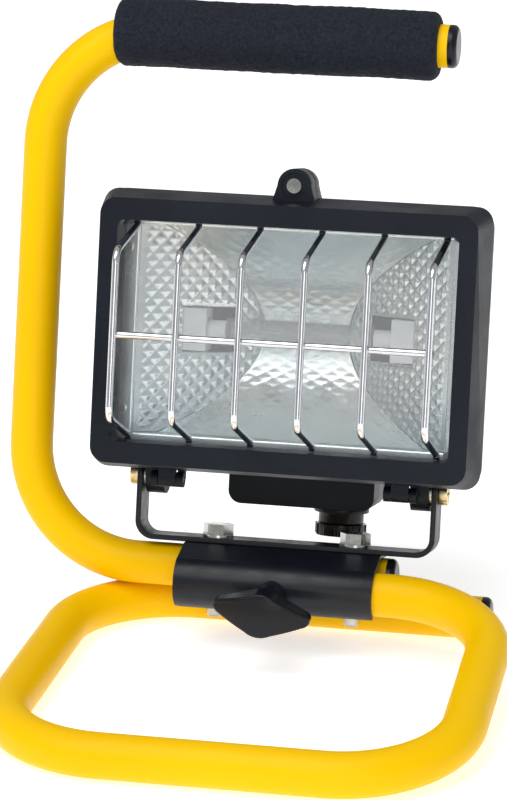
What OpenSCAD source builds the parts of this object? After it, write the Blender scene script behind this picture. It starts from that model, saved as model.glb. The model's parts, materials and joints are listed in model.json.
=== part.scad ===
// Portable halogen work light: a bent-tube stand with a carrying handle,
// a tilting floodlight head and a clamp that joins the two tubes.
// Millimetres, +Z up. The stand rests on z = 0 and the head faces -Y.

/* [Tubes] */
// Outside diameter of both stand tubes
tube_d = 16; // [15.5:0.1:16.2]
// Wall thickness of the tubes
tube_wall = 1.2; // [1:0.1:2]
// Bend radius of the base loop, to the tube's centre line
base_bend_r = 42; // [38:1:46]
// Bend radius of the handle tube, to its centre line
handle_bend_r = 43; // [38:1:46]
// Length of the closing caps outside the tube
cap_l = 3.4; // [2.5:0.1:4]

/* [Stand] */
// How far the handle, clamp and yoke lean back
lean = 13; // [10:0.5:14]
// Height of the handle tube's lower leg above the floor
lower_leg_z = 24.3; // [24:0.1:26]
// Distance from the lower leg up to the carrying leg
handle_h = 197.7; // [190:0.5:215]
// X of the handle's upright
upright_x = -87; // [-92:0.5:-86]
// X of the base loop's left leg
base_left_x = -64.5; // [-66:0.5:-63]
// X of the base loop's right leg
base_right_x = 96.5; // [95:0.5:100]
// Y of the base loop's front leg
base_front_y = -150; // [-160:1:-140]
// Y of the base loop's back leg
base_back_y = 10.8; // [10.8:0.1:13]
// X where the back leg ends
base_back_end_x = 85.3; // [80:0.5:90]

/* [Handle] */
// Diameter of the foam grip
grip_d = 26.4; // [24:0.2:30]
// X where the grip starts
grip_x0 = -60.9; // [-62:0.1:-55]
// X where the grip ends
grip_x1 = 60.1; // [50:0.1:62]
// X where the carrying leg ends
handle_end_x = 63.6; // [63:0.1:70]
// X where the lower leg ends
lower_end_x = 51.2; // [50.5:0.1:56]

/* [Clamp] */
// X of the clamp, yoke and head centre
centre_x = 12.3; // [11:0.1:13]
// Length of the clamp along the tubes
clamp_l = 74; // [70:1:76]
// Centre distance of the two clamped tubes
tube_pitch = 17; // [16.8:0.1:17.4]
// Thickness of the clamp's sheet
sheet_t = 1.5; // [1.2:0.1:1.6]
// Distance from the centre to each clamp bolt
bolt_dx = 26; // [22:0.5:28]

/* [Yoke] */
// Outside width of the yoke
yoke_w = 113; // [112.5:0.1:114]
// Width of the yoke's strip
yoke_strip_w = 14; // [12:0.5:16]
// Thickness of the yoke's strip
yoke_t = 2; // [1.8:0.1:2.2]
// Height of the tilt axis above the lower leg
pivot_u = 33.5; // [33:0.5:38]

/* [Head] */
// How far the head faces up
tilt = 12.5; // [5:0.5:20]
// Width of the front frame's face
face_w = 139.5; // [138.5:0.5:141]
// Height of the front frame's face
face_h = 97.5; // [96:0.5:99]
// How much the frame's sides flare towards the back
face_flare = 3; // [2.5:0.1:3.2]
// Depth of the front frame
frame_l = 18; // [17:0.5:18.5]
// Width of the light opening
open_w = 126; // [120:0.5:126]
// Height of the light opening
open_h = 81.5; // [80:0.5:82]
// Depth of the back of the housing
housing_l = 55; // [54:0.5:58]
// Diameter of the guard's wires
wire_d = 2.6; // [2:0.1:3]
// How far the guard stands in front of the frame
guard_out = 24; // [16:1:28]

/* [Hidden] */
$fn = 64;
tube_r = tube_d / 2;
bore_r = tube_r - tube_wall;
gap = 0.1;
play = 0.3;
// A straight that ends inside a bend is a little thinner and runs a little way into it.
weld = 0.2;
shrink = 0.01;
thin = 0.1;

// Base loop: the clamped leg lies one tube pitch in front of the lower leg,
// at the same height, and the right leg slopes from it down to the floor.
clamp_leg_y = -tube_pitch;
slope_drop = lower_leg_z - tube_r;
slope_run = clamp_leg_y - base_front_y;
slope_l = sqrt(slope_drop * slope_drop + slope_run * slope_run);
slope_a = atan(slope_drop / slope_run);

// Lean frame: x along the tubes, n towards the back, u up the handle.
leg_n = -tube_pitch * cos(lean);
leg_u = -tube_pitch * sin(lean);
clamp_x0 = centre_x - clamp_l / 2;
saddle_top = tube_r + gap / 2 + sheet_t;
yoke_top = saddle_top + yoke_t;
jaw_t = 3;
bolt_r = 3;
bolt_washer_r = 5.9;
bolt_washer_t = 1;
bolt_head_h = 4;
bolt_head_af = 10;
bolt_end_u = -18.4;
bolt_chamfer = 0.9;
knob_screw_r = 3;
boss_r = 5.4;
boss_l = 6;
hook_r = tube_r + gap + sheet_t;
// The saddle's shelf lies on the handle tube; from its front edge the sheet slopes down to
// touch the hook's circle, and the hook goes round the base tube in two equal halves.
shelf_n0 = -8.6;
shelf_l = 17;
slope_to = norm([shelf_n0 - leg_n, saddle_top - leg_u]);
hook_from = atan2(saddle_top - leg_u, shelf_n0 - leg_n) + acos(hook_r / slope_to);
hook_to = 254;
hook_half = (hook_to - hook_from) / 2;
// The jaw's lip carries on from just behind the hook's edge.
lip_from = 264;
lip_to = 329;
lip_mid = (lip_from + lip_to) / 2;
neck_l = 9;
// Knob: neck, then a lens-faced body whose outline is a hub with two tapered wings.
hub_r = 8.4;
knob_neck = 7.6;
knob_body_l = 9.8;
knob_face_r = 34;
wing_tip_r = 2.7;
wing_tip_x = 15.3;
wing_turn = 7;
wing_side_a = asin((hub_r - wing_tip_r) / wing_tip_x);

// Head frame: x across, d into the head from the front face, v up.
pivot_d = 30;
pivot_v = -54.8;
pivot_r = 2.5;
ear_t = 7;
washer_t = 0.8;
ear_r = 7;
arm_in = yoke_w / 2 - yoke_t;
ear_out = arm_in - play - washer_t;
back_w = face_w + 2 * face_flare;
back_h = face_h + 2 * face_flare;
glass_w = 130.5;
glass_h = 86;
glass_t = 3;
glass_d = 12.6;
gasket_w = 134.5;
gasket_h = 89.2;
gasket_d1 = glass_d + glass_t + 0.8;
skirt_w = 136.5;
skirt_h = 93.5;
band_t = 3;
rim_t = 2;
clip_t = 0.7;
clip_v = 46.2;
clip_dx = 32;
flange_d = frame_l + 0.6;
flange_t = 3;
hull_w0 = 128;
hull_h0 = 92;
hull_w1 = 114;
hull_h1 = 79;
shell_t = 2.5;
cavity_w0 = 122.5;
cavity_h0 = 87;
cavity_w1 = 109;
cavity_h1 = 74;
apex_d = 51;
trough_k = 62;
mouth_h = 39;
foil_t = 0.6;
mouth_w = 118;
cheek_back_x = 16;
window_l = 23;
window_h = 17;
lip_d = flange_d + 2;
lip_w = 4.2;
// Cheek plates lie in a plane that slants from the mouth's side in to the back.
cheek_run = [mouth_w / 2 - cheek_back_x, apex_d - lip_d];
cheek_l = norm(cheek_run);
cheek_a = atan2(cheek_run[0], cheek_run[1]);
cheek_flange_w = 6;
curve_steps = 12;
recess_h = 92.2;
lamp_d = 38;
lamp_r = 4.7;
lamp_half = 28;
contact_half = 37.4;
holder_x = contact_half - 2.5;
hinge_d = frame_l + 0.3;
hinge_v = -55.2;
hinge_r = 2.8;
knuckle_x = 43.7;
knuckle_w = 6.4;
hinge_pin_r = 1.25;
lug_v = 56;
lug_d = 10;
lug_l = 8;
lug_r = 6.3;
screw_r = 1.5;
screw_head_r = 2.7;
wire_x = 9;
wire_v = -32;
seal_w = 141.5;
seal_h = 99.4;
seal_t = 1.6;
fin_l = 8;
post_x = 41;
guard_pitch = 23;
wire_count = 6;
guard_half = (wire_count - 1) / 2 * guard_pitch;
guard_root_d = 9;
guard_root_in = 2;
guard_front_in = 10.8;
guard_end_out = 1.6;
guard_front_r = 5;
guard_root_r = 2.5;
box_w = 56;
box_d0 = housing_l + 0.3;
box_d1 = 79;
box_v0 = -66.5;
box_v1 = -27;
box_h = box_v1 - box_v0;
box_mid = (box_v0 + box_v1) / 2;
box_wall = 2;
terminal_d = box_d0 + box_wall;
clamp_d = terminal_d + 4.5;
cover_t = 2.5;
gland_x = 14;
gland_d = 67;
gland_bore_r = 4;
gland_stub_r = 5.6;

// The rear edge of the junction cover is the rearmost point of the object.
cover_back = box_d1 + cover_t;
pivot_y = pivot_u * sin(lean);
rear_y = pivot_y + (cover_back - pivot_d) * cos(tilt) + (box_v1 - pivot_v) * sin(tilt);
place_x = -(upright_x - tube_r + base_right_x + tube_r) / 2;
place_y = -(base_front_y - tube_r + rear_y) / 2;

// ---- frames -------------------------------------------------------------

module place() translate([place_x, place_y, 0]) children();

module lean_frame() place() translate([0, 0, lower_leg_z]) rotate([-lean, 0, 0]) children();

module head_frame() lean_frame() translate([centre_x, 0, pivot_u]) rotate([lean - tilt, 0, 0])
    translate([0, -pivot_d, -pivot_v]) children();

// Sweeps a profile drawn in (n, u), or (d, v), along x from x0.
module along_x(x0, length) translate([x0, 0, 0]) rotate([90, 0, 90]) linear_extrude(length)
    children();

// Rod along +X, from x0 to x1.
module rod_x(x0, x1, r) translate([x0, 0, 0]) rotate([0, 90, 0]) cylinder(r = r, h = x1 - x0);

// Rod along the depth axis, from d0 to d1.
module rod_d(d0, d1, r) translate([0, d0, 0]) rotate([-90, 0, 0]) cylinder(r = r, h = d1 - d0);

module both_sides(dx) for (side = [-1, 1]) translate([side * dx, 0, 0]) children();

// ---- tube shapes ----------------------------------------------------------

// Quarter bend about +Z, centred on the origin, from angle a0 to a0 + 90.
module quarter_bend(bend_r, r, a0) rotate([0, 0, a0]) rotate_extrude(angle = 90)
    translate([bend_r, 0]) circle(r);

module base_path(r, over) {
    b = base_bend_r;
    // Clamped leg, right leg and the right half of the front, in their sloping plane.
    translate([0, clamp_leg_y, lower_leg_z]) rotate([180 + slope_a, 0, 0]) {
        rod_x(clamp_x0 + 2 - over, base_right_x - b, r);
        translate([base_right_x - b, b, 0]) quarter_bend(b, r, -90);
        translate([base_right_x, b, 0]) rotate([-90, 0, 0]) cylinder(r = r, h = slope_l - 2 * b);
        translate([base_right_x - b, slope_l - b, 0]) quarter_bend(b, r, 0);
    }
    // Front leg, left leg and back leg, flat on the floor.
    translate([0, base_front_y, tube_r])
        rod_x(base_left_x + b - weld, base_right_x - b + weld, r - shrink);
    translate([base_left_x + b, base_front_y + b, tube_r]) quarter_bend(b, r, 180);
    translate([base_left_x, base_front_y + b, tube_r]) rotate([-90, 0, 0])
        cylinder(r = r, h = base_back_y - base_front_y - 2 * b);
    translate([base_left_x + b, base_back_y - b, tube_r]) quarter_bend(b, r, 90);
    translate([0, base_back_y, tube_r]) rod_x(base_left_x + b, base_back_end_x + over, r);
}

module handle_path(r, over) {
    b = handle_bend_r;
    rod_x(upright_x + b, lower_end_x + over, r);
    translate([upright_x + b, 0, b]) rotate([90, 0, 0]) quarter_bend(b, r, 180);
    translate([upright_x, 0, b]) cylinder(r = r, h = handle_h - 2 * b);
    translate([upright_x + b, 0, handle_h - b]) rotate([90, 0, 0]) quarter_bend(b, r, 90);
    translate([0, 0, handle_h]) rod_x(upright_x + b, handle_end_x + over, r);
}

// Domed plug: the dome outside the tube, the stub inside it.
module end_plug() {
    stub_l = 8;
    round_r = 2.2;
    rotate([0, 90, 0]) rotate_extrude() {
        translate([0, -stub_l]) square([bore_r - gap, stub_l + 0.01]);
        difference() {
            square([tube_r, cap_l]);
            translate([tube_r - round_r, cap_l - round_r]) difference() {
                square(round_r + 1);
                circle(round_r);
            }
        }
    }
}

module base_tube() color("gold") place() difference() {
    base_path(tube_r, 0);
    base_path(bore_r, 1);
}

module base_end_cap() color("#20242c") place() translate([base_back_end_x, base_back_y, tube_r])
    end_plug();

module handle_tube() color("gold") lean_frame() difference() {
    handle_path(tube_r, 0);
    handle_path(bore_r, 1);
    at_bolts() translate([0, 0, -tube_d]) cylinder(r = bolt_r + gap, h = 2 * tube_d);
}

module handle_end_cap() color("#20242c") lean_frame() translate([handle_end_x, 0, handle_h])
    end_plug();

module lower_end_cap() color("#20242c") lean_frame() translate([lower_end_x, 0, 0]) end_plug();

module handle_grip() {
    grip_r = grip_d / 2;
    edge_r = 3;
    color("#262a33") lean_frame() difference() {
        translate([grip_x0, 0, handle_h]) rotate([0, 90, 0]) rotate_extrude() {
            translate([0, edge_r]) square([grip_r, grip_x1 - grip_x0 - 2 * edge_r]);
            square([grip_r - edge_r, grip_x1 - grip_x0]);
            for (y = [edge_r, grip_x1 - grip_x0 - edge_r]) translate([grip_r - edge_r, y])
                circle(edge_r);
        }
        handle_path(tube_r + gap / 2, 20);
    }
}

// ---- clamp ----------------------------------------------------------------

module at_bolts() translate([centre_x, 0, 0]) both_sides(bolt_dx) children();

// Flat ring about the origin, between two angles less than half a turn apart.
module ring_sector(r0, r1, a0, a1) {
    reach = 4 * r1;
    mid = (a0 + a1) / 2;
    intersection() {
        difference() {
            circle(r1);
            circle(r0);
        }
        polygon([[0, 0], reach * [cos(a0), sin(a0)], reach * [cos(mid), sin(mid)],
            reach * [cos(a1), sin(a1)]]);
    }
}

module saddle_profile() {
    // The sloping sheet ends a little inside the hook's circle.
    out = [cos(hook_from), sin(hook_from)];
    touch = [leg_n, leg_u] + (hook_r - shrink) * out;
    difference() {
        union() {
            translate([shelf_n0, saddle_top - sheet_t]) square([shelf_l, sheet_t]);
            polygon([[shelf_n0 + sheet_t, saddle_top], [shelf_n0, saddle_top], touch,
                touch - sheet_t * out, [shelf_n0, saddle_top] - sheet_t * out,
                [shelf_n0 + sheet_t, saddle_top - sheet_t]]);
            for (a = [hook_from, hook_from + hook_half]) translate([leg_n, leg_u])
                ring_sector(tube_r - 1, hook_r, a - 1, a + hook_half);
        }
        circle(tube_r + gap / 2);
        translate([leg_n, leg_u]) circle(tube_r + gap);
    }
}

module clamp_saddle() color("#23272f") lean_frame() difference() {
    along_x(clamp_x0, clamp_l) saddle_profile();
    at_bolts() cylinder(r = bolt_r + gap, h = 2 * tube_r);
    knob_axis() translate([0, 0, hook_r - 2 * sheet_t]) cylinder(r = knob_screw_r + gap, h = 4);
}

// Under the handle tube a bar, and a lip that curls a little way round the base tube.
module clamp_jaw() color("#23272f") lean_frame() {
    bar_n0 = -10;
    bar_n1 = 5.2;
    bar_top = -tube_r - gap;
    chamfer = 2;
    x0 = clamp_x0 + 1;
    length = clamp_l - 2;
    difference() {
        union() {
            along_x(x0, length) polygon([[bar_n0, bar_top], [bar_n1, bar_top],
                [bar_n1, bar_top - jaw_t + chamfer], [bar_n1 - chamfer, bar_top - jaw_t],
                [bar_n0, bar_top - jaw_t]]);
            intersection() {
                translate([0, leg_n, leg_u]) rod_x(x0, x0 + length, hook_r);
                along_x(x0, length) translate([leg_n, leg_u]) polygon([[0, 0],
                    3 * hook_r * [cos(lip_from), sin(lip_from)],
                    3 * hook_r * [cos(lip_mid), sin(lip_mid)],
                    3 * hook_r * [cos(lip_to), sin(lip_to)]]);
            }
        }
        translate([0, leg_n, leg_u]) rod_x(x0 - 1, x0 + length + 1, tube_r + gap);
        at_bolts() translate([0, 0, -2 * tube_r]) cylinder(r = bolt_r + gap / 2, h = 2 * tube_r);
    }
}

module clamp_bolts() color("silver") lean_frame() at_bolts() {
    head_u = yoke_top + bolt_washer_t;
    shank_u = bolt_end_u + bolt_chamfer;
    translate([0, 0, bolt_end_u]) cylinder(r1 = bolt_r - bolt_chamfer, r2 = bolt_r, h = bolt_chamfer);
    translate([0, 0, shank_u]) cylinder(r = bolt_r, h = head_u - shank_u + 0.5);
    translate([0, 0, head_u]) cylinder(d = bolt_head_af / cos(30), h = bolt_head_h, $fn = 6);
}

module clamp_washers() color("silver") lean_frame() at_bolts() translate([0, 0, yoke_top])
    difference() {
        cylinder(r = bolt_washer_r, h = bolt_washer_t);
        translate([0, 0, -1]) cylinder(r = bolt_r + gap, h = bolt_washer_t + 2);
    }

// The knob's axis is level: it passes through the clamped leg's centre and points forward.
module knob_axis() translate([centre_x, leg_n, leg_u]) rotate([90 + lean, 0, 0]) children();

module knob_boss() color("#23272f") lean_frame() difference() {
    knob_axis() difference() {
        cylinder(r = boss_r, h = hook_r + boss_l);
        cylinder(r = knob_screw_r + gap / 2, h = 40);
    }
    translate([0, leg_n, leg_u]) rod_x(clamp_x0, clamp_x0 + clamp_l, hook_r);
}

module knob_screw() color("silver") lean_frame() knob_axis() translate([0, 0, tube_r + 0.05])
    cylinder(r = knob_screw_r, h = hook_r - tube_r + boss_l + neck_l);

// Seen along the axis: a round hub, and on each side a wing with straight flanks and a round tip.
module knob_outline() {
    // The flanks lie just inside both circles.
    root = (hub_r - 0.2) * [sin(wing_side_a), cos(wing_side_a)];
    end = [wing_tip_x, 0] + (wing_tip_r - 0.1) * [sin(wing_side_a), cos(wing_side_a)];
    circle(hub_r);
    for (side = [0, 180]) rotate(side) {
        translate([wing_tip_x, 0]) circle(wing_tip_r);
        polygon([[0, -root[1]], [root[0], -root[1]], [end[0], -end[1]], end, root, [0, root[1]]]);
    }
}

module knob() color("#1b1e25") lean_frame() knob_axis() difference() {
    translate([0, 0, hook_r + boss_l + play]) {
        cylinder(r = boss_r, h = knob_neck + 1);
        intersection() {
            translate([0, 0, knob_neck]) rotate([0, 0, -wing_turn]) linear_extrude(knob_body_l)
                knob_outline();
            translate([0, 0, knob_neck + knob_body_l - knob_face_r]) sphere(knob_face_r);
        }
    }
    translate([0, 0, tube_r])
        cylinder(r = knob_screw_r + gap / 2, h = hook_r + boss_l + neck_l - tube_r + gap);
}

// ---- yoke -----------------------------------------------------------------

module yoke_profile(grow) {
    // Seen from the front: a U with round outside corners.
    corner = 7 - grow;
    w = yoke_w - 2 * grow;
    top = pivot_u + ear_r;
    translate([-w / 2, saddle_top + grow]) {
        translate([corner, 0]) square([w - 2 * corner, corner]);
        translate([0, corner]) square([w, top - saddle_top - grow - corner + 2 * grow]);
        for (x = [corner, w - corner]) translate([x, corner]) circle(corner);
    }
}

module yoke() color("#23272f") lean_frame() difference() {
    translate([centre_x, yoke_strip_w / 2, 0]) rotate([90, 0, 0]) linear_extrude(yoke_strip_w)
        difference() {
            yoke_profile(0);
            yoke_profile(yoke_t);
        }
    at_bolts() cylinder(r = bolt_r + gap, h = 30);
    translate([centre_x - yoke_w, 0, pivot_u]) rod_x(0, 2 * yoke_w, pivot_r + 0.08);
    // Rounded ends of the arms.
    translate([centre_x - yoke_w, 0, pivot_u]) difference() {
        translate([0, -yoke_strip_w, 0]) cube([2 * yoke_w, 2 * yoke_strip_w, 2 * ear_r]);
        rod_x(-1, 2 * yoke_w + 1, yoke_strip_w / 2);
    }
}

module at_pivots() translate([0, pivot_d, pivot_v]) for (side = [0, 1]) mirror([side, 0, 0])
    children();

module pivot_screws() color("#c9bd8f") head_frame() at_pivots() {
    screw_in = ear_out - ear_t + 1;
    head_x = yoke_w / 2 + 0.3;
    rod_x(screw_in, head_x + 0.5, pivot_r);
    difference() {
        rod_x(head_x, head_x + 3, 4.4);
        translate([head_x + 3, 0, 0]) for (a = [0, 90]) rotate([a, 0, 0]) cube([2.4, 6, 1], true);
    }
}

module pivot_washers() color("silver") head_frame() at_pivots() difference() {
    rod_x(ear_out, ear_out + washer_t, 5.5);
    rod_x(ear_out - 1, ear_out + washer_t + 1, pivot_r + gap);
}

// ---- head: shells -----------------------------------------------------------

// Rounded rectangle plate centred on the axis, from d0 to d1.
module plate_d(w, h, r, d0, d1) translate([0, d1, 0]) rotate([90, 0, 0]) linear_extrude(d1 - d0) {
    square([w - 2 * r, h], true);
    square([w, h - 2 * r], true);
    for (x = [-1, 1], y = [-1, 1]) translate([x * (w / 2 - r), y * (h / 2 - r)]) circle(r);
}

// Tapered box between two rounded rectangles.
module loft_d(w0, h0, d0, w1, h1, d1, r) hull() {
    $fn = 32;
    plate_d(w0, h0, r, d0, d0 + thin);
    plate_d(w1, h1, r, d1 - thin, d1);
}

// Lug outline seen from the front: round top, wider foot.
module lug(d0, d1) translate([0, d1, 0]) rotate([90, 0, 0]) linear_extrude(d1 - d0) {
    translate([0, lug_v]) circle(lug_r);
    polygon([[-9, face_h / 2 - 2], [9, face_h / 2 - 2], [lug_r, lug_v], [-lug_r, lug_v]]);
}

module at_knuckles() both_sides(knuckle_x) translate([0, hinge_d, hinge_v]) children();

module front_frame() color("#262a33") head_frame() difference() {
    union() {
        difference() {
            loft_d(face_w, face_h, 0, back_w, back_h, frame_l, 6);
            // Hollow behind the face, open to the back, and the light opening.
            difference() {
                plate_d(skirt_w, skirt_h, 5, band_t, frame_l + 1);
                plate_d(open_w + 2 * rim_t, open_h + 2 * rim_t, 5, band_t - 1, glass_d - 1);
            }
            plate_d(open_w, open_h, 2.5, -1, frame_l + 1);
        }
        lug(lug_d, frame_l);
        at_clips() translate([-4, band_t - 1, gasket_h / 2 + 0.1]) cube([8, gasket_d1 - band_t + 1, 3]);
        at_knuckles() {
            rod_x(-knuckle_w / 2, knuckle_w / 2, hinge_r);
            translate([-knuckle_w / 2, -hinge_r, 0]) cube([knuckle_w, hinge_r - 0.3, 5]);
        }
    }
    lug_hole(0, frame_l + 1, screw_r + play);
    // Shallow recess in the lug's face.
    translate([0, lug_d, lug_v]) rod_d(-1, 0.8, lug_r - 1.4);
    at_clips() {
        translate([-4.3, gasket_d1, gasket_h / 2 + 0.1]) cube([8.6, 5, 3.2]);
        translate([0, 0, clip_v]) rod_d(glass_d - 4, frame_l, 0.8 + gap / 2);
    }
    at_knuckles() rod_x(-10, 10, hinge_pin_r + 0.05);
    // Holes for the guard's ends.
    at_wires() for (side = [-1, 1]) translate([0, guard_root_d, side * open_h / 2])
        cylinder(d = wire_d + gap, h = 2 * rim_t + 0.4, center = true);
}

module lug_hole(d0, d1, r) translate([0, 0, lug_v]) rod_d(d0, d1, r);

module hinge_pins() color("silver") head_frame() at_knuckles() rod_x(-knuckle_w / 2 - 2.8,
    knuckle_w / 2 + 2.8, hinge_pin_r);

module closing_screw() color("silver") head_frame() {
    head_d = lug_d - 0.9;
    lug_hole(head_d + 0.5, frame_l + 4.5, screw_r);
    difference() {
        lug_hole(head_d, lug_d + 0.78, screw_head_r);
        translate([0, head_d, lug_v]) for (a = [45, 135]) rotate([0, a, 0])
            cube([3.6, 1.2, 0.8], true);
    }
}

module rear_housing() color("#262a33") head_frame() difference() {
    union() {
        plate_d(back_w, back_h, 8, flange_d, flange_d + flange_t);
        loft_d(hull_w0, hull_h0, flange_d, hull_w1, hull_h1, housing_l, 6);
        // Cooling fins on the back.
        for (x = [-50:10:50]) translate([x - 1, housing_l - 1, box_v1 + 2]) cube([2, fin_l + 1, 60]);
        lug(flange_d, flange_d + lug_l);
        // Pivot ears.
        at_pivots() {
            rod_x(ear_out - ear_t, ear_out, ear_r);
            translate([ear_out - ear_t, -ear_r, 0]) cube([ear_t, 2 * ear_r, 14]);
        }
        at_knuckles() for (side = [0, 1]) mirror([side, 0, 0])
            translate([knuckle_w / 2 + play, 0, 0]) hinge_ear();
        // Posts behind the lampholders.
        for (x = [-1, 1]) translate([x * post_x, 0, 0]) rod_d(lamp_d + 7, housing_l - 1, 3.2);
    }
    plate_d(gasket_w + 1, recess_h, 5, flange_d - 1, lip_d);
    difference() {
        loft_d(cavity_w0, cavity_h0, flange_d, cavity_w1, cavity_h1, housing_l - shell_t, 3);
        for (x = [-1, 1]) translate([x * post_x, 0, 0]) rod_d(lamp_d + 7, housing_l, 3.2);
    }
    difference() {
        plate_d(seal_w, seal_h, 7, flange_d - 1, flange_d + 1.6);
        plate_d(seal_w - 2 * seal_t, seal_h - 2 * seal_t, 6, flange_d - 2, flange_d + 2);
    }
    lug_hole(flange_d - 1, flange_d + lug_l + 1, screw_r + 2 * play);
    at_pivots() rod_x(ear_out - ear_t - 1, ear_out + 1, pivot_r + gap / 2);
    at_knuckles() rod_x(-10, 10, hinge_pin_r + 0.05);
    wire_ways() cylinder(r = 2.4, h = 12, center = true);
    for (x = [-1, 1]) translate([x * post_x, 0, 0]) rod_d(lamp_d + 6, housing_l - 3, 1.25);
    at_reflector_screws() rod_d(flange_d, lip_d + 5, 0.95);
}

module hinge_ear() {
    ear_w = 2.6;
    rod_x(0, ear_w, hinge_r);
    translate([0, 0.3, 0]) cube([ear_w, flange_t, 6]);
}

module wire_ways() for (x = [-wire_x, wire_x]) translate([x, housing_l, wire_v])
    rotate([-90, 0, 0]) children();

module housing_seal() color("#8a8f96") head_frame() difference() {
    plate_d(seal_w - gap, seal_h - gap, 7, flange_d - 0.3, flange_d + 1.6);
    plate_d(seal_w - 2 * seal_t + gap, seal_h - 2 * seal_t + gap, 6, flange_d - 2, flange_d + 3);
}

// ---- head: front glass and guard ---------------------------------------------

module glass() color([0.8, 0.9, 0.95, 0.35]) head_frame()
    plate_d(glass_w, glass_h, 4, glass_d, glass_d + glass_t);

module glass_gasket() color("#9aa0a6") head_frame() difference() {
    plate_d(gasket_w, gasket_h, 5, glass_d - 1, glass_d + glass_t + 0.8);
    plate_d(glass_w, glass_h, 4, glass_d, glass_d + glass_t);
    plate_d(open_w, open_h, 4, glass_d - 2, glass_d + glass_t + 2);
}

module at_clips() for (x = [-clip_dx, clip_dx], side = [0, 1]) mirror([0, 0, side])
    translate([x, 0, 0]) children();

module glass_clips() color("silver") head_frame() at_clips() difference() {
    translate([-4, gasket_d1, 42]) cube([8, clip_t, 5.6]);
    translate([0, 0, clip_v]) rod_d(glass_d, frame_l, 0.9);
}

module clip_screws() color("silver") head_frame() at_clips() translate([0, 0, clip_v]) {
    rod_d(glass_d - 3, gasket_d1 + clip_t + 0.5, 0.8);
    rod_d(gasket_d1 + clip_t, frame_l - 0.1, 1.3);
}

// Bend in the (d, v) plane about the origin, from angle a0 over the sweep.
module wire_bend(bend_r, a0, sweep) rotate([90, 0, 90]) rotate([0, 0, a0])
    rotate_extrude(angle = sweep) translate([bend_r, 0]) circle(d = wire_d);

// Upper half of one guard wire: front run, bend, leaning leg, bend and the end in its hole.
module half_wire() {
    front_v = open_h / 2 - guard_front_in;
    root_v = open_h / 2 - guard_root_in;
    end_v = open_h / 2 + guard_end_out;
    lean_a = atan((root_v - front_v) / (guard_out + guard_root_d));
    sweep = 90 - lean_a;
    front_t = guard_front_r * tan(sweep / 2);
    root_t = guard_root_r * tan(sweep / 2);
    leg_l = norm([root_v - front_v, guard_out + guard_root_d]) - front_t - root_t;
    translate([0, -guard_out, 0]) cylinder(d = wire_d - shrink, h = front_v - front_t + weld / 2);
    translate([0, guard_front_r - guard_out, front_v - front_t])
        wire_bend(guard_front_r, 180 - sweep, sweep);
    translate([0, -guard_out, front_v]) rotate([lean_a - 90, 0, 0])
        translate([0, 0, front_t - weld / 2]) cylinder(d = wire_d - 2 * shrink, h = leg_l + weld);
    translate([0, guard_root_d - guard_root_r, root_v + root_t])
        wire_bend(guard_root_r, -sweep, sweep);
    translate([0, guard_root_d, root_v + root_t - weld / 2])
        cylinder(d = wire_d - shrink, h = end_v - root_v - root_t + weld / 2);
}

module at_wires() for (i = [0:wire_count - 1]) translate([i * guard_pitch - guard_half, 0, 0])
    children();

module guard() color("silver") head_frame() {
    at_wires() {
        half_wire();
        mirror([0, 0, 1]) half_wire();
    }
    translate([0, -guard_out + wire_d * 0.8, 0]) rod_x(-guard_half - wire_d / 2,
        guard_half + wire_d / 2, wire_d / 2);
}

// ---- head: reflector -----------------------------------------------------------

function trough_depth(v) = apex_d - v * v / trough_k;

module trough_sheet() along_x(-mouth_w / 2, mouth_w) {
    flange_v = mouth_h + lip_w;
    front_d = lip_d - foil_t;
    inner = [for (i = [-curve_steps:curve_steps]) let (v = mouth_h * i / curve_steps)
        [trough_depth(v), v]];
    outer = [for (i = [curve_steps:-1:-curve_steps]) let (v = mouth_h * i / curve_steps)
        [trough_depth(v) + foil_t, v * (1 + foil_t / mouth_h)]];
    polygon(concat(inner, [[front_d, mouth_h], [front_d, flange_v], [lip_d, flange_v],
        [lip_d, mouth_h + foil_t]], outer, [[lip_d, -mouth_h - foil_t], [lip_d, -flange_v],
        [front_d, -flange_v], [front_d, -mouth_h]]));
}

// Everything outside one cheek's inner plane, as a big box.
module outside_cheek(side) mirror([side, 0, 0]) translate([mouth_w / 2, lip_d, 0])
    rotate([0, 0, cheek_a]) translate([0, -60, -60]) cube([80, 160, 120]);

module reflector_trough() color("#dfe8ee") head_frame() difference() {
    trough_sheet();
    outside_cheek(0);
    outside_cheek(1);
}

module cheek() {
    // Drawn with s along the slant and v up, then laid on the cheek's plane.
    rim = [for (i = [0:curve_steps]) let (s = i == 0 ? -1 : cheek_l * i / curve_steps,
        d = lip_d + s * cos(cheek_a), v = min(mouth_h, sqrt(max(trough_k * (apex_d - d), 0))))
        [s, v + foil_t]];
    low = [for (i = [curve_steps:-1:0]) [rim[i][0], -rim[i][1]]];
    window_s = (lamp_d - lip_d) / cos(cheek_a);
    translate([mouth_w / 2, lip_d, 0]) rotate([0, 0, 90 + cheek_a]) rotate([90, 0, 0])
        translate([0, 0, 0.02]) linear_extrude(foil_t) difference() {
            polygon(concat(rim, low));
            translate([window_s, 0]) square([window_l, window_h], true);
        }
    // Mounting flange along the front edge.
    translate([mouth_w / 2 + 0.1, lip_d - foil_t, -mouth_h + 0.1])
        cube([cheek_flange_w, foil_t, 2 * mouth_h - 0.2]);
}

module at_reflector_screws() for (x = [-1, 1], v = [-30, 30])
    translate([x * (mouth_w / 2 + 3.9), 0, v]) children();

module cheek_drilled() difference() {
    cheek();
    at_reflector_screws() rod_d(lip_d - 2, lip_d + 1, 1);
}

module reflector_left_end() color("#d5e0e6") head_frame() mirror([1, 0, 0]) cheek_drilled();

module reflector_right_end() color("#d5e0e6") head_frame() cheek_drilled();

module reflector_screws() color("silver") head_frame() at_reflector_screws() {
    rod_d(lip_d - foil_t - 0.5, lip_d + 4, 0.9);
    rod_d(lip_d - foil_t - 1.2, lip_d - foil_t, 1.6);
}

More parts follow.
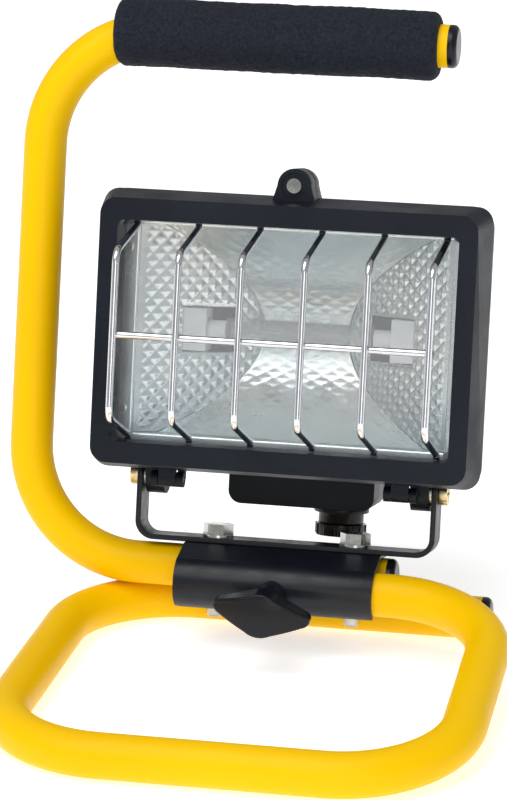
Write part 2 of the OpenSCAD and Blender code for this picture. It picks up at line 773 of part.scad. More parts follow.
// ---- head: lamp and its holders --------------------------------------------------

module at_holders() translate([0, lamp_d, 0]) for (side = [0, 1]) mirror([side, 0, 0]) children();

module lampholders() color("#dfe6ea") head_frame() at_holders() difference() {
    translate([holder_x, -6, -8]) cube([12, 12, 16]);
    rod_x(holder_x - 1, contact_half + 6.5, 4.4);
    rod_x(contact_half, contact_half + 11, 1.3);
    translate([post_x, 0, 0]) rod_d(4, 7, 1.6);
}

module holder_brackets() color("silver") head_frame() at_holders() difference() {
    translate([holder_x, 6, -8]) cube([12, 1, 16]);
    translate([post_x, 0, 0]) rod_d(5, 8, 1.6);
}

module bracket_screws() color("silver") head_frame() at_holders() translate([post_x, 0, 0]) {
    rod_d(5.6, 13, 1.2);
    rod_d(4.8, 5.9, 1.5);
}

// Sprung plunger that meets the lamp's end; it can move outward.
module contact() translate([0, lamp_d, 0]) {
    rod_x(contact_half + 0.1, contact_half + 1.6, 3.2);
    rod_x(contact_half + 1.5, contact_half + 6.8, 1.2);
}

module spring() translate([0, lamp_d, 0]) difference() {
    rod_x(contact_half + 1.65, contact_half + 4.2, 2.6);
    rod_x(contact_half + 1, contact_half + 7, 1.3);
}

module left_contact() color("#b98b4a") head_frame() mirror([1, 0, 0]) contact();

module right_contact() color("#b98b4a") head_frame() contact();

module left_spring() color("silver") head_frame() mirror([1, 0, 0]) spring();

module right_spring() color("silver") head_frame() spring();

module lamp_tube() color([0.9, 0.95, 1, 0.3]) head_frame() translate([0, lamp_d, 0]) difference() {
    rod_x(-lamp_half, lamp_half, lamp_r);
    rod_x(-lamp_half + 2, lamp_half - 2, lamp_r - 1);
}

module lamp_ends() color("#eeeeea") head_frame() at_holders() {
    rod_x(lamp_half, contact_half - 1, 3.6);
    rod_x(contact_half - 1.1, contact_half, 1.8);
}

module lamp_filament() color("#70757c") head_frame() translate([0, lamp_d, 0])
    rod_x(-lamp_half + 2, lamp_half - 2, 0.6);

// Each lead leaves its holder's outer end, drops, runs inward behind the reflector,
// turns back through the wall and down into its terminal.
module lamp_leads() color("#d8d2c4") head_frame() for (side = [0, 1]) mirror([side, 0, 0]) {
    lead_r = 1.1;
    turn = 5;
    drop_x = contact_half + 15;
    translate([0, lamp_d, 0]) rod_x(contact_half + 9.5, drop_x - turn, lead_r);
    translate([drop_x - turn, lamp_d, -turn]) rotate([90, 0, 0]) quarter_bend(turn, lead_r, 0);
    translate([drop_x, lamp_d, wire_v + turn]) cylinder(r = lead_r, h = -wire_v - 2 * turn);
    translate([drop_x - turn, lamp_d, wire_v + turn]) rotate([90, 0, 0])
        quarter_bend(turn, lead_r, -90);
    translate([0, lamp_d, wire_v]) rod_x(wire_x + turn, drop_x - turn, lead_r);
    translate([wire_x + turn, lamp_d + turn, wire_v]) quarter_bend(turn, lead_r, 180);
    translate([wire_x, 0, wire_v]) rod_d(lamp_d + turn, clamp_d - turn, lead_r);
    translate([wire_x, clamp_d - turn, wire_v - turn]) rotate([90, 0, 90])
        quarter_bend(turn, lead_r, 0);
    translate([wire_x, clamp_d, wire_v - turn - 7]) cylinder(r = lead_r, h = 7);
}

// ---- junction box and cable gland ---------------------------------------------------

module box_plate(inset, d0, d1, r) translate([0, 0, box_mid])
    plate_d(box_w - 2 * inset, box_h - 2 * inset, r, d0, d1);

module at_cover_screws() for (x = [-1, 1], v = [-1, 1])
    translate([x * (box_w / 2 - 5), 0, box_mid + v * (box_h / 2 - 5)]) children();

module junction_box() color("#23272f") head_frame() difference() {
    union() {
        difference() {
            box_plate(0, box_d0, box_d1, 5);
            box_plate(box_wall, box_d0 + box_wall, box_d1 + 1, 4);
        }
        at_cover_screws() rod_d(box_d0 + box_wall, box_d1, 3.2);
    }
    wire_ways() cylinder(r = 2.4, h = 8, center = true);
    translate([gland_x, gland_d, box_v0 - 1]) cylinder(r = gland_stub_r + gap, h = 4);
    at_cover_screws() rod_d(box_d1 - 8, box_d1 + 1, 1.5);
}

module cover_seal() color("#8a8f96") head_frame() difference() {
    box_plate(0.4, box_d1, box_d1 + 0.6, 4.6);
    box_plate(box_wall, box_d1 - 1, box_d1 + 2, 4);
    at_cover_screws() rod_d(box_d1 - 1, box_d1 + 2, 1.7);
}

module junction_cover() color("#23272f") head_frame() difference() {
    box_plate(0, box_d1 + 0.6, box_d1 + cover_t, 5);
    at_cover_screws() rod_d(box_d1 - 1, box_d1 + cover_t + 1, 1.7);
    at_cover_screws() rod_d(box_d1 + cover_t - 1, box_d1 + cover_t + 1, 3);
}

module cover_screws() color("silver") head_frame() at_cover_screws() {
    rod_d(box_d1 - 7, box_d1 + cover_t - 0.9, 1.5);
    difference() {
        rod_d(box_d1 + cover_t - 1, box_d1 + cover_t - 0.1, 2.8);
        translate([0, box_d1 + cover_t - 0.1, 0]) for (a = [0, 90]) rotate([0, a, 0])
            cube([3.6, 1, 0.7], true);
    }
}

module at_terminals() for (x = [-wire_x, 0, wire_x]) translate([x, terminal_d, -46]) children();

module terminal_block() color("#e8e4d8") head_frame() difference() {
    translate([-14.5, terminal_d, -52]) cube([29, 9, 12]);
    at_terminals() translate([0, 4.5, 0]) cylinder(r = 1.6, h = 20, center = true);
    at_terminals() rod_d(5, 10, 2);
}

module terminal_screws() color("#c9bd8f") head_frame() at_terminals() difference() {
    rod_d(6.2, 8.8, 1.9);
    translate([0, 8.8, 0]) cube([3, 1, 0.6], true);
}

module earth_screw() color("#c9bd8f") head_frame() translate([20.5, 0, -46]) difference() {
    rod_d(terminal_d, terminal_d + 4, 2.6);
    translate([0, terminal_d + 4, 0]) cube([4, 1.2, 0.8], true);
}

module at_gland() translate([gland_x, gland_d, box_v0]) mirror([0, 0, 1]) children();

module gland_body() color("#1b1e25") head_frame() at_gland() difference() {
    union() {
        translate([0, 0, -4]) cylinder(r = gland_stub_r, h = 5);
        cylinder(d = 21, h = 1.8);
        cylinder(r = 8.6, h = 6);
        cylinder(r = 7.2, h = 9);
    }
    translate([0, 0, -5]) cylinder(r = gland_bore_r + 0.4, h = 7);
    translate([0, 0, 1]) cylinder(r = 6, h = 9);
}

module gland_seal() color("#30343a") head_frame() at_gland() difference() {
    translate([0, 0, 1.1]) cylinder(r = 5.9, h = 8);
    cylinder(r = gland_bore_r, h = 12);
}

module gland_nut() color("#1b1e25") head_frame() at_gland() difference() {
    union() {
        translate([0, 0, 6.2]) cylinder(r = 9.4, h = 4.4);
        for (a = [0:30:330]) rotate([0, 0, a]) translate([9, 0, 6.2]) cylinder(r = 0.9, h = 4);
    }
    translate([0, 0, 5]) cylinder(r = 7.3, h = 4.2);
    cylinder(r = gland_bore_r + 0.4, h = 14);
}

base_tube();
base_end_cap();
handle_tube();
handle_grip();
handle_end_cap();
lower_end_cap();
clamp_saddle();
clamp_jaw();
clamp_bolts();
clamp_washers();
knob_boss();
knob_screw();
knob();
yoke();
pivot_screws();
pivot_washers();
rear_housing();
housing_seal();
front_frame();
hinge_pins();
closing_screw();
glass();
glass_gasket();
glass_clips();
clip_screws();
guard();
reflector_trough();
reflector_left_end();
reflector_right_end();
reflector_screws();
lampholders();
holder_brackets();
bracket_screws();
left_contact();
right_contact();
left_spring();
right_spring();
lamp_tube();
lamp_ends();
lamp_filament();
lamp_leads();
junction_box();
junction_cover();
cover_seal();
cover_screws();
terminal_block();
terminal_screws();
earth_screw();
gland_body();
gland_seal();
gland_nut();
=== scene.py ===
"""Looks of the portable halogen work light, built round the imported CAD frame."""

import json
import math

import bmesh
import bpy
from mathutils import Matrix, Vector, noise


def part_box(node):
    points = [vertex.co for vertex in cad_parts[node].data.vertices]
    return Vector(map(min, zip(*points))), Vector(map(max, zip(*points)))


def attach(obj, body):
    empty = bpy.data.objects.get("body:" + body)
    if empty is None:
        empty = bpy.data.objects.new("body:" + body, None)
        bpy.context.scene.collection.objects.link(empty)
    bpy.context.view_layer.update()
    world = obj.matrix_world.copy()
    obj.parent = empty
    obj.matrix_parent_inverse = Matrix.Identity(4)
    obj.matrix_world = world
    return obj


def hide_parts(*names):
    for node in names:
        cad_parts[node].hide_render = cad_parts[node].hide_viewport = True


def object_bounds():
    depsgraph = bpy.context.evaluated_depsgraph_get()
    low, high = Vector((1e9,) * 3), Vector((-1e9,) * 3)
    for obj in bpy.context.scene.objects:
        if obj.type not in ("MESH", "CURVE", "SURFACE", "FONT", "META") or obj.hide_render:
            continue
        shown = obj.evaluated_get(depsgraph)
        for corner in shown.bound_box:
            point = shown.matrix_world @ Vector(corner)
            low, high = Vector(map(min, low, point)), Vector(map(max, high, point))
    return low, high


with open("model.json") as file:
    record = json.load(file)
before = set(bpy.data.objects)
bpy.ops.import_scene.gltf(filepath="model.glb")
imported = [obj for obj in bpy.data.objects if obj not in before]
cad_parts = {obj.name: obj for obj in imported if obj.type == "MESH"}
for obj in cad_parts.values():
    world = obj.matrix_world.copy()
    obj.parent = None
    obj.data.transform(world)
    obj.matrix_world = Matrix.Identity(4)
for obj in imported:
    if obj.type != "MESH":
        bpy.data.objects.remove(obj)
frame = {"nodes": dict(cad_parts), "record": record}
cad_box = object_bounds()
nodes = frame["nodes"]
MM = 0.001


# ---- node-tree helpers -------------------------------------------------------

class Shader:
    """One material with a Principled shader, and short ways to feed it patterns."""

    def __init__(self, name, **sockets):
        self.material = bpy.data.materials.new(name)
        self.material.use_nodes = True
        self.tree = self.material.node_tree
        self.main = self.tree.nodes["Principled BSDF"]
        for key, value in sockets.items():
            self.set(key.replace("_", " "), value)

    def set(self, socket, value):
        """Sets one of the shader's own sockets."""
        names = {name.lower(): name for name in self.main.inputs.keys()}
        self.main.inputs[names[socket.lower()]].default_value = value

    def node(self, kind, **values):
        """Adds a node; values are its properties, or its inputs where no property has the name."""
        made = self.tree.nodes.new("ShaderNode" + kind)
        for key, value in values.items():
            if hasattr(made, key):
                setattr(made, key, value)
            else:
                made.inputs[key.replace("_", " ")].default_value = value
        return made

    def link(self, start, end):
        self.tree.links.new(start, end)

    def place(self):
        """Object coordinates, which stay with the piece."""
        return self.node("TexCoord").outputs["Object"]

    def noise(self, scale, detail=3.0):
        """A cloudy pattern; scale is in lumps per metre."""
        made = self.node("TexNoise", Scale=scale, Detail=detail)
        self.link(self.place(), made.inputs["Vector"])
        return made.outputs["Fac"]

    def cells(self, scale):
        """A pattern of round cells; scale is in cells per metre."""
        made = self.node("TexVoronoi", Scale=scale)
        self.link(self.place(), made.inputs["Vector"])
        return made.outputs["Distance"]

    def ramp(self, source, stops):
        """A colour ramp; stops are (position, colour or grey)."""
        made = self.node("ValToRGB")
        points = made.color_ramp.elements
        while len(points) < len(stops):
            points.new(0.5)
        for point, (position, value) in zip(points, stops):
            point.position = position
            point.color = value if isinstance(value, tuple) else (value, value, value, 1)
        self.link(source, made.inputs["Fac"])
        return made.outputs["Color"]

    def colour(self, source, stops):
        """Colours the surface by a pattern."""
        self.link(self.ramp(source, stops), self.main.inputs["Base Color"])

    def roughness(self, source, low, high):
        """Spreads the roughness between two values by a pattern."""
        self.link(self.ramp(source, [(0.3, low), (0.7, high)]), self.main.inputs["Roughness"])

    def bump(self, source, strength, depth, below=None):
        """Raises a pattern on the surface, over the bumps below it, and returns the normal."""
        made = self.node("Bump", Strength=strength, Distance=depth)
        self.link(source, made.inputs["Height"])
        if below is not None:
            self.link(below, made.inputs["Normal"])
        self.link(made.outputs["Normal"], self.main.inputs["Normal"])
        return made.outputs["Normal"]


# ---- materials ---------------------------------------------------------------

def yellow_paint():
    """Glossy stoved enamel: even yellow, a little deeper where it pools, faint orange peel."""
    made = Shader("yellow_paint", coat_weight=0.03, coat_roughness=0.2, specular_ior_level=0.1)
    made.colour(made.noise(9, 4), [(0.3, (0.93, 0.53, 0.0, 1)), (0.7, (0.97, 0.59, 0.0, 1))])
    made.roughness(made.noise(60), 0.34, 0.46)
    peel = made.bump(made.noise(420, 2), 0.25, 0.00025)
    made.bump(made.noise(60, 2), 0.15, 0.0006, peel)
    return made.material


def black_paint():
    """Satin black enamel on sheet steel."""
    made = Shader("black_paint", coat_weight=0.1, coat_roughness=0.25, specular_ior_level=0.3)
    made.colour(made.noise(30, 5), [(0.3, (0.004, 0.006, 0.010, 1)), (0.75, (0.008, 0.011, 0.017, 1))])
    made.roughness(made.noise(150), 0.32, 0.48)
    made.bump(made.noise(700, 2), 0.25, 0.0002)
    return made.material


def black_casting():
    """Fine-textured powder coat on die-cast aluminium, rubbed a little shinier in places."""
    made = Shader("black_casting", specular_ior_level=0.22)
    made.colour(made.noise(25, 6), [(0.3, (0.003, 0.006, 0.011, 1)), (0.75, (0.008, 0.012, 0.020, 1))])
    made.roughness(made.noise(45, 5), 0.34, 0.52)
    fine = made.bump(made.cells(1500), 0.35, 0.00018)
    made.bump(made.noise(500, 3), 0.3, 0.0002, fine)
    return made.material


def black_plastic():
    """Moulded black plastic with a slight grain."""
    made = Shader("black_plastic", specular_ior_level=0.25)
    made.colour(made.noise(40), [(0.3, (0.005, 0.006, 0.009, 1)), (0.7, (0.010, 0.011, 0.015, 1))])
    made.roughness(made.noise(90), 0.22, 0.34)
    made.bump(made.noise(900, 2), 0.15, 0.0001)
    return made.material


def foam():
    """Closed-cell foam rubber: matte, blue-black, finely pitted."""
    made = Shader("foam", sheen_weight=0.03, sheen_roughness=0.5, specular_ior_level=0.1)
    made.colour(made.noise(900, 6), [(0.3, (0.010, 0.012, 0.019, 1)), (0.7, (0.022, 0.026, 0.037, 1))])
    made.roughness(made.noise(200), 0.75, 0.95)
    pits = made.bump(made.cells(1300), 0.6, 0.0004)
    made.bump(made.noise(260, 4), 0.5, 0.0006, pits)
    return made.material


def zinc_steel():
    """Zinc-plated steel, faintly yellow and mottled."""
    made = Shader("zinc_steel", metallic=1.0)
    made.colour(made.noise(120, 5), [(0.3, (0.40, 0.42, 0.42, 1)), (0.7, (0.62, 0.61, 0.55, 1))])
    made.roughness(made.noise(300), 0.14, 0.28)
    made.bump(made.noise(900), 0.15, 0.0001)
    return made.material


def brass():
    """Yellow-passivated screws and contacts."""
    made = Shader("brass", metallic=1.0)
    made.colour(made.noise(150, 4), [(0.3, (0.66, 0.55, 0.30, 1)), (0.7, (0.80, 0.70, 0.42, 1))])
    made.roughness(made.noise(300), 0.22, 0.4)
    return made.material


def chrome_wire():
    """Bright nickel-chrome plating with faint draw marks."""
    made = Shader("chrome_wire", metallic=1.0)
    made.colour(made.noise(60), [(0.3, (0.70, 0.72, 0.76, 1)), (0.7, (0.82, 0.83, 0.86, 1))])
    made.roughness(made.noise(500), 0.07, 0.16)
    made.bump(made.noise(700), 0.1, 0.00008)
    return made.material


def clear_glass():
    """Thin clear pane: nearly all seen through, with a light reflection."""
    made = Shader("clear_glass", base_color=(0.93, 0.97, 1.0, 1), alpha=0.13, ior=1.5)
    made.roughness(made.noise(20), 0.01, 0.05)
    return made.material


def bright_sheet():
    """Anodised aluminium reflector sheet, slightly soft; its pale metal colour is mottled in broad
    patches between pale blue and cream, which is painted reflection of cool and warm surroundings.
    """
    made = Shader("bright_sheet", metallic=1.0)
    # painted reflection: broad patches of pale blue and cream in the base colour stand in for
    # reflections of the surroundings
    made.colour(made.noise(14, 4), [(0.35, (0.74, 0.86, 0.90, 1)), (0.65, (0.93, 0.93, 0.87, 1))])
    made.roughness(made.noise(80), 0.16, 0.28)
    made.bump(made.noise(600), 0.12, 0.00008)
    return made.material


def ceramic():
    """Unglazed white steatite."""
    made = Shader("ceramic")
    made.colour(made.noise(90, 5), [(0.3, (0.58, 0.62, 0.64, 1)), (0.7, (0.70, 0.72, 0.71, 1))])
    made.roughness(made.noise(200), 0.5, 0.7)
    made.bump(made.noise(800), 0.3, 0.00015)
    return made.material


def seal_rubber():
    """Grey silicone sealing rubber."""
    made = Shader("seal_rubber")
    made.colour(made.noise(70), [(0.3, (0.06, 0.065, 0.07, 1)), (0.7, (0.10, 0.105, 0.11, 1))])
    made.roughness(made.noise(200), 0.55, 0.75)
    return made.material


def tungsten():
    """Dull grey filament."""
    made = Shader("tungsten", metallic=1.0)
    made.colour(made.noise(800), [(0.3, 0.16), (0.7, 0.3)])
    made.roughness(made.noise(400), 0.35, 0.55)
    return made.material


def sleeving():
    """Woven glass-fibre sleeving of the lamp leads."""
    made = Shader("sleeving")
    weave = made.node("TexChecker", Scale=1600)
    made.link(made.place(), weave.inputs["Vector"])
    made.colour(weave.outputs["Fac"], [(0.0, (0.55, 0.52, 0.45, 1)), (1.0, (0.72, 0.69, 0.62, 1))])
    made.roughness(made.noise(400), 0.7, 0.9)
    made.bump(weave.outputs["Fac"], 0.5, 0.0002)
    return made.material


MATERIALS = {make.__name__: make() for make in (
    yellow_paint, black_paint, black_casting, black_plastic, foam, zinc_steel, brass, chrome_wire,
    clear_glass, bright_sheet, ceramic, seal_rubber, tungsten, sleeving)}
SLOT_OF = {row["node"]: row["material_slot"] for row in frame["record"]["subparts"]}


def dress_nodes():
    """Gives every CAD node the material of its record slot."""
    for name, obj in nodes.items():
        material = MATERIALS[SLOT_OF[name]]
        if not obj.material_slots:
            obj.data.materials.append(material)
        for held in obj.material_slots:
            held.material = material


def joined(obj):
    """Joins the corners that the triangles of a CAD mesh share."""
    weld = obj.modifiers.new("weld", "WELD")
    weld.merge_threshold = 0.002 * MM


def soften(name, width):
    """Rounds a CAD node's sharp edges with modifiers; its mesh stays as it is."""
    joined(nodes[name])
    bevel = nodes[name].modifiers.new("soft_edges", "BEVEL")
    bevel.width = width
    bevel.segments = 3
    bevel.limit_method = "ANGLE"
    bevel.angle_limit = math.radians(35)
    bevel.harden_normals = True


# Edge radius, in millimetres, of each CAD node whose corners are cast, moulded or bent.
EDGES = {"front_frame": 0.7, "rear_housing": 0.5, "junction_box": 0.6, "junction_cover": 0.6,
         "yoke": 0.45, "clamp_saddle": 0.4, "clamp_jaw": 0.5, "clamp_bolts": 0.3,
         "gland_nut": 0.25, "gland_body": 0.4, "lampholders": 0.5, "terminal_block": 0.5,
         "pivot_screws": 0.3, "knob_boss": 0.3}


def add_object(name, data):
    """Puts a mesh, light or camera in the scene."""
    obj = bpy.data.objects.new(name, data)
    bpy.context.scene.collection.objects.link(obj)
    return obj


def new_piece(name, mesh, body, material_slot):
    """Puts a smooth-shaded mesh in the scene, on a body and with its material."""
    obj = add_object(name, mesh)
    mesh.materials.append(MATERIALS[material_slot])
    mesh.polygons.foreach_set("use_smooth", [True] * len(mesh.polygons))
    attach(obj, body)
    return obj


def applied(obj):
    """The object's mesh with its modifiers applied; the object itself goes."""
    bpy.context.view_layer.update()
    ready = obj.evaluated_get(bpy.context.evaluated_depsgraph_get())
    mesh = bpy.data.meshes.new_from_object(ready)
    bpy.data.objects.remove(obj)
    return mesh


def moulded(name, node, body, material_slot, voxel, rounds):
    """A copy of a CAD node whose corners and creases flow together as in a moulding."""
    raw = add_object(name + "_raw", nodes[node].data.copy())
    raw.data.materials.clear()
    joined(raw)
    remesh = raw.modifiers.new("skin", "REMESH")
    remesh.mode = "VOXEL"
    remesh.voxel_size = voxel
    smooth = raw.modifiers.new("flow", "SMOOTH")
    smooth.factor = 0.5
    smooth.iterations = rounds
    mesh = applied(raw)
    mesh.name = name
    piece = new_piece(name, mesh, body, material_slot)
    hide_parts(node)


# ---- foam grip -----------------------------------------------------------------

def foam_grip():
    """A sleeve of soft foam: rounded ends and a slightly wavy, finely pored surface."""
    low, high = (Vector(corner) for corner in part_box("handle_grip"))
    centre = (low + high) / 2
    radius = (high.z - low.z) / 2
    edge = 3.5 * MM
    hole = 8.4 * MM
    rings = 150
    around = 96
    # Depth of the long waves and of the pores, and how often each comes along and round the grip.
    wave, wave_along, wave_round = 0.35 * MM, 45, 1.4
    skin, skin_along, skin_round = 0.25 * MM, 520, 7.5
    shrink = (wave + skin) * 0.8

    def profile(t):
        """(x, r) along the sleeve, from the left end's hole over the skin to the right end's."""
        span = high.x - low.x
        face = radius - edge - hole
        corner = edge * math.pi / 2
        total = 2 * face + 2 * corner + span - 2 * edge
        s = t * total
        if s < face:
            return low.x, hole + s
        s -= face
        if s < corner:
            turn = s / edge
            return low.x + edge * (1 - math.cos(turn)), radius - edge + edge * math.sin(turn)
        s -= corner
        if s < span - 2 * edge:
            return low.x + edge + s, radius
        s -= span - 2 * edge
        if s < corner:
            turn = s / edge
            return high.x - edge + edge * math.sin(turn), radius - edge + edge * math.cos(turn)
        return high.x, radius - edge - (s - corner)

    def ripple(flat, along, across):
        return noise.noise(Vector((flat.x * along, flat.y * across, flat.z * across)))

    mesh = bpy.data.meshes.new("foam_grip")
    bm = bmesh.new()
    loops = []
    for i in range(rings + 1):
        x, r = profile(i / rings)
        loop = []
        for j in range(around):
            angle = 2 * math.pi * j / around
            flat = Vector((x, math.cos(angle), math.sin(angle)))
            lumps = ripple(flat, wave_along, wave_round) * wave
            pores = ripple(flat, skin_along, skin_round) * skin
            reach = r if r <= hole + MM else r - shrink + lumps + pores
            loop.append(bm.verts.new((x, centre.y + reach * flat.y, centre.z + reach * flat.z)))
        loops.append(loop)
    for a, b in zip(loops, loops[1:]):
        for j in range(around):
            k = (j + 1) % around
            bm.faces.new((a[j], a[k], b[k], b[j]))
    bmesh.ops.recalc_face_normals(bm, faces=bm.faces)
    bm.to_mesh(mesh)
    bm.free()
    grip = new_piece("foam_grip", mesh, "stand", "foam")
    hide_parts("handle_grip")


# ---- reflector -------------------------------------------------------------------

class HeadSpace:
    """The lamp head's own directions: x across, d into the head, v up, from its centre."""

    def __init__(self):
        joints = {row["name"]: row for row in frame["record"]["behaviour"]["joints"]}
        mounts = {row["name"]: row for row in frame["record"]["mounts"]}
        self.up = -Vector(mounts["cable_entry"]["axis"]).normalized()
        self.back = -Vector(joints["closing_screw_travel"]["axis"]).normalized()
        self.across = Vector((1, 0, 0))
        self.turn = Matrix((self.across, self.back, self.up)).transposed()
        glass = self.extent("glass", Vector((0, 0, 0)))
        middle = [(a + b) / 2 for a, b in zip(*glass)]
        self.centre = self.turn @ Vector((middle[0], 0, middle[2]))

    def extent(self, node, origin=None):
        """Lowest and highest (x, d, v) of a node."""
        start = self.centre if origin is None else origin
        seen = [self.turn.inverted() @ (vertex.co - start) for vertex in nodes[node].data.vertices]
        return [[pick(point[k] for point in seen) for k in range(3)] for pick in (min, max)]

    def world(self, x, d, v):
        return self.centre + self.turn @ Vector((x, d, v))


def grid_mesh(name, rows, columns, point, keep=None):
    """A quad grid through point(row share, column share), without the quads keep turns down."""
    mesh = bpy.data.meshes.new(name)
    places = []
    for i in range(rows + 1):
        places += [point(i / rows, j / columns) for j in range(columns + 1)]
    quads = []
    for i in range(rows):
        for j in range(columns):
            if keep is None or keep((i + 0.5) / rows, (j + 0.5) / columns):
                a = i * (columns + 1) + j
                quads.append((a, a + 1, a + columns + 2, a + columns + 1))
    mesh.from_pydata(places, [], quads)
    bm = bmesh.new()
    bm.from_mesh(mesh)
    loose = [vertex for vertex in bm.verts if not vertex.link_faces]
    bmesh.ops.delete(bm, geom=loose, context="VERTS")
    bm.to_mesh(mesh)
    bm.free()
    return mesh


def thicken(obj, thickness):
    """Makes a surface a sheet with the surface in its middle."""
    solid = obj.modifiers.new("sheet", "SOLIDIFY")
    solid.thickness = thickness
    solid.offset = 0


def diamond(a, b, pitch):
    """Height from 0 to 1 of a field of four-sided points laid out as diamonds."""
    u = (a + b) / pitch
    w = (a - b) / pitch
    u -= math.floor(u)
    w -= math.floor(w)
    return 1 - 2 * max(abs(u - 0.5), abs(w - 0.5))


def reflector(space):
    """The trough with its dented face, and two end cheeks with embossed diamonds and windows."""
    foil = 0.6 * MM
    sheet = 0.3 * MM
    # The trough's depth falls by v squared over this length.
    bowl = 62 * MM
    low, high = space.extent("reflector_trough")
    cheek_low, cheek_high = space.extent("reflector_right_end")
    lip_d = low[1] + foil
    apex_d = high[1] - foil
    mouth_x = high[0]
    flange_v = high[2]
    mouth_v = cheek_high[2] - foil
    flange_x = cheek_high[0]
    back_x = cheek_low[0]
    slant = math.atan2(mouth_x - back_x, apex_d - lip_d)
    deepest = apex_d - mouth_v ** 2 / bowl

    def half_width(d):
        return mouth_x - max(d - lip_d, 0) * math.tan(slant) - 0.1 * MM

    # Half profile of the trough, from the apex out to the flange's edge.
    curve_share, lip_share = 0.8, 0.9
    # The trough's face stands a little proud of the CAD sheet, with faint dents and diamonds.
    proud, hammer, emboss = 0.22 * MM, 0.05 * MM, 0.13 * MM

    def half_profile(t):
        if t < curve_share:
            v = mouth_v * t / curve_share
            return apex_d - v ** 2 / bowl, v
        if t < lip_share:
            step = (t - curve_share) / (lip_share - curve_share)
            return deepest + (lip_d - foil - deepest) * step, mouth_v
        return lip_d - foil, mouth_v + (flange_v - mouth_v) * (t - lip_share) / (1 - lip_share)

    def trough_point(row, column):
        t = 2 * row - 1
        d, v = half_profile(abs(t))
        v = math.copysign(v, t)
        x = (2 * column - 1) * half_width(d)
        dent = 0.0
        if abs(t) < curve_share * 0.98 and abs(x) < half_width(d) - MM:
            dent = hammer * noise.noise(Vector((x * 260, v * 520, 3.0)))
            dent += emboss * (diamond(x * 0.7, v * 1.3, 5 * MM) - 0.5)
        return space.world(x, d - proud - dent, v)

    trough = new_piece("trough_sheet", grid_mesh("trough_sheet", 190, 180, trough_point),
                       "head", "bright_sheet")
    thicken(trough, sheet)
    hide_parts("reflector_trough")

    window_l, window_h = 22 * MM, 17 * MM
    lamp_low, lamp_high = space.extent("lamp_tube")
    lamp_d = (lamp_low[1] + lamp_high[1]) / 2
    slope = (apex_d - lip_d) / math.cos(slant)
    window_s = (lamp_d - lip_d) / math.cos(slant)
    fold = flange_x - mouth_x
    total = fold + slope

    def cheek_place(row, column):
        s = row * total - fold
        d = lip_d + max(s, 0) * math.cos(slant)
        reach = min(mouth_v, math.sqrt(max(bowl * (apex_d - d), 0)))
        return s, (2 * column - 1) * reach

    rows, columns = 110, 150
    step_s = total / rows
    step_v = 0.9 * MM
    rim_width = 3 * MM
    diamond_height, diamond_pitch = 0.38 * MM, 5.6 * MM

    def snap(value, edge, step):
        return edge if abs(value - edge) < step / 2 else value

    def in_window(s, v, margin=0.0):
        return abs(s - window_s) < window_l / 2 + margin and abs(v) < window_h / 2 + margin

    for side, body_name in ((-1, "left"), (1, "right")):
        def cheek_point(row, column, side=side):
            s, v = cheek_place(row, column)
            if in_window(s, v, MM):
                for edge in (window_s - window_l / 2, window_s + window_l / 2):
                    s = snap(s, edge, step_s)
                for edge in (-window_h / 2, window_h / 2):
                    v = snap(v, edge, step_v)
            if s < 0:
                return space.world(side * (mouth_x - s), lip_d - foil / 2, v)
            x = mouth_x - s * math.sin(slant)
            d = lip_d + s * math.cos(slant)
            rim = min(s, mouth_v + 2 * MM - abs(v), slope - s) < rim_width
            plain = rim or in_window(s, v, 1.2 * MM)
            lift = 0.0 if plain else diamond_height * diamond(s, v, diamond_pitch)
            x += (foil / 2 - lift) * math.cos(slant)
            d += (foil / 2 - lift) * math.sin(slant)
            return space.world(side * x, d, v)

        def keep(row, column):
            return not in_window(*cheek_place(row, column))

        name = body_name + "_cheek"
        cheek = new_piece(name, grid_mesh(name, rows, columns, cheek_point, keep), "head",
                          "bright_sheet")
        thicken(cheek, sheet)
        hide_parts("reflector_" + body_name + "_end")


# ---- stage, lights and camera -----------------------------------------------------

def floor():
    """A wide white sweep under the lamp."""
    mesh = bpy.data.meshes.new("floor")
    half = 6.0
    mesh.from_pydata([(-half, -half, 0), (half, -half, 0), (half, half, 0), (-half, half, 0)], [],
                     [(0, 1, 2, 3)])
    obj = add_object("floor", mesh)
    made = Shader("white_floor", base_color=(0.8, 0.8, 0.8, 1), roughness=0.9,
                  specular_ior_level=0.1, emission_color=(1, 1, 1, 1), emission_strength=0.62)
    mesh.materials.append(made.material)
    obj.location.z = cad_box[0][2] - 0.0002


def area_light(name, place, aim, size, power):
    """A rectangular soft box at a place, turned to a point."""
    light = bpy.data.lights.new(name, "AREA")
    light.shape = "RECTANGLE"
    light.size, light.size_y = size
    light.energy = power
    obj = add_object(name, light)
    obj.location = place
    obj.rotation_euler = (Vector(aim) - Vector(place)).to_track_quat("-Z", "Y").to_euler()


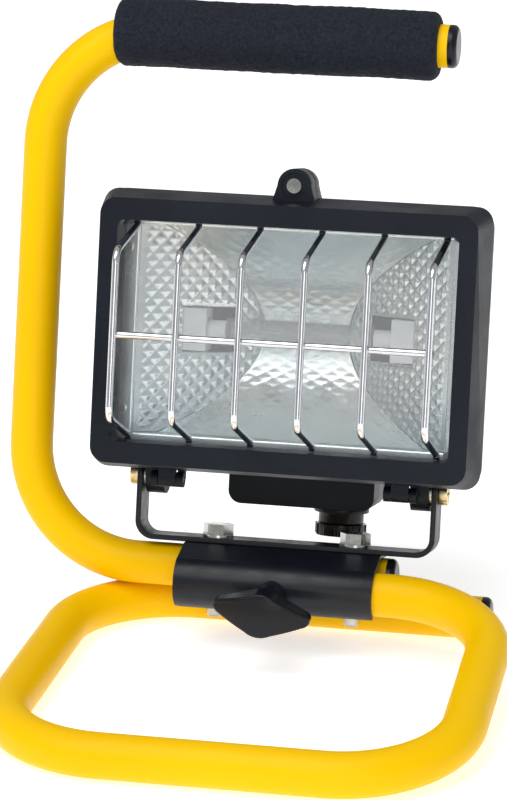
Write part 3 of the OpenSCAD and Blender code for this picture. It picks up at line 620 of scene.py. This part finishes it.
def soft_sun(aim, strength, spread):
    """A very soft key light that falls evenly over the whole floor."""
    light = bpy.data.lights.new("key", "SUN")
    light.energy = strength
    light.angle = math.radians(spread)
    obj = add_object("key", light)
    obj.rotation_euler = Vector(aim).to_track_quat("-Z", "Y").to_euler()


def lights():
    """Soft white studio light: a dim surround, a broad key from the upper left and two boxes."""
    world = bpy.data.worlds.new("surround")
    world.use_nodes = True
    world.node_tree.nodes["Background"].inputs["Color"].default_value = (1, 1, 1, 1)
    world.node_tree.nodes["Background"].inputs["Strength"].default_value = 0.38
    bpy.context.scene.world = world
    soft_sun((0.35, 0.6, -1), 1.3, 50)
    middle = (0, 0, 0.1)
    area_light("top_box", (-0.1, -0.25, 1.1), middle, (0.8, 0.5), 2.5)
    area_light("front_box", (0.3, -1.4, 0.35), middle, (0.5, 0.8), 2.5)


def camera():
    """A long lens to the right of the front and a little above, level with the lamp head."""
    azimuth = math.radians(11.4)
    pitch = math.radians(17.0)
    roll = math.radians(0.34)
    distance = 1.3957
    lens_ratio = 4.739
    low, high = cad_box
    # The target is above the axis of the handle's lower leg, a little left of the middle.
    tube_r = 8 * MM
    leg_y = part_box("handle_tube")[0][1] + tube_r
    aside = 4.75 * MM
    aim_height = 90.6 * MM
    target = Vector(((low[0] + high[0]) / 2 - aside, leg_y, aim_height))
    back = Vector((math.sin(azimuth) * math.cos(pitch), -math.cos(azimuth) * math.cos(pitch),
                   math.sin(pitch)))
    right = (-back).cross(Vector((0, 0, 1))).normalized()
    up = right.cross(-back)
    across = math.cos(roll) * right + math.sin(roll) * up
    upward = -math.sin(roll) * right + math.cos(roll) * up
    data = bpy.data.cameras.new("camera")
    data.lens = lens_ratio * data.sensor_width
    data.clip_end = 30
    obj = add_object("camera", data)
    turn = Matrix((across, upward, back)).transposed().to_4x4()
    obj.matrix_world = Matrix.Translation(target + back * distance) @ turn
    bpy.context.scene.camera = obj


camera()
lights()
floor()
dress_nodes()
for node_name, radius in EDGES.items():
    soften(node_name, radius * MM)
foam_grip()
moulded("wing_knob", "knob", "knob", "black_plastic", 0.35 * MM, 14)
head_space = HeadSpace()
reflector(head_space)
bpy.context.scene.view_settings.view_transform = "Standard"
